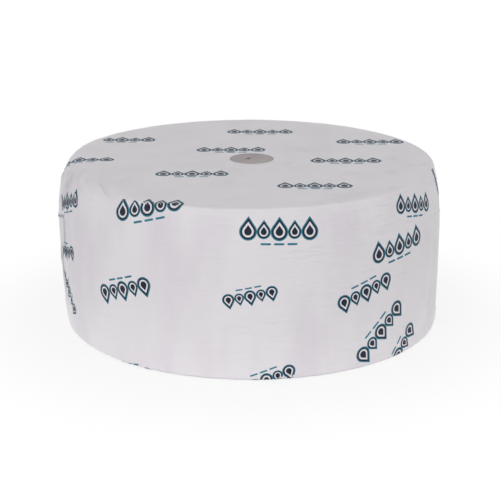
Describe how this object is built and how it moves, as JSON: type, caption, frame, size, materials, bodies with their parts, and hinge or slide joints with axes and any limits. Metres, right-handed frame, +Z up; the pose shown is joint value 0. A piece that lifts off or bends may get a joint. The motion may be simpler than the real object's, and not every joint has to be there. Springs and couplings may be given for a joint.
{
  "type": "garage paper roll",
  "caption": "Large drum-shaped roll of garage wiping paper, closed all round in shrunk white film with dark blue printed marks, standing on its end.",
  "frame": {"origin": "centre of the flat bottom face, where the roll's axis meets the floor", "axes": "+Z up along the roll's axis; the print on the top face reads upright from the -Y side; +X to the right from there"},
  "size_m": [0.423, 0.4212, 0.1792],
  "materials": {
    "film": "satin white polyethylene film, shrunk tight over the paper",
    "navy_ink": "flat dark blue print",
    "teal_ink": "flat blue-green print"
  },
  "bodies": {
    "root": {"wrapped_roll": "film", "print_navy": "navy_ink", "print_teal": "teal_ink"}
  },
  "joints": []
}
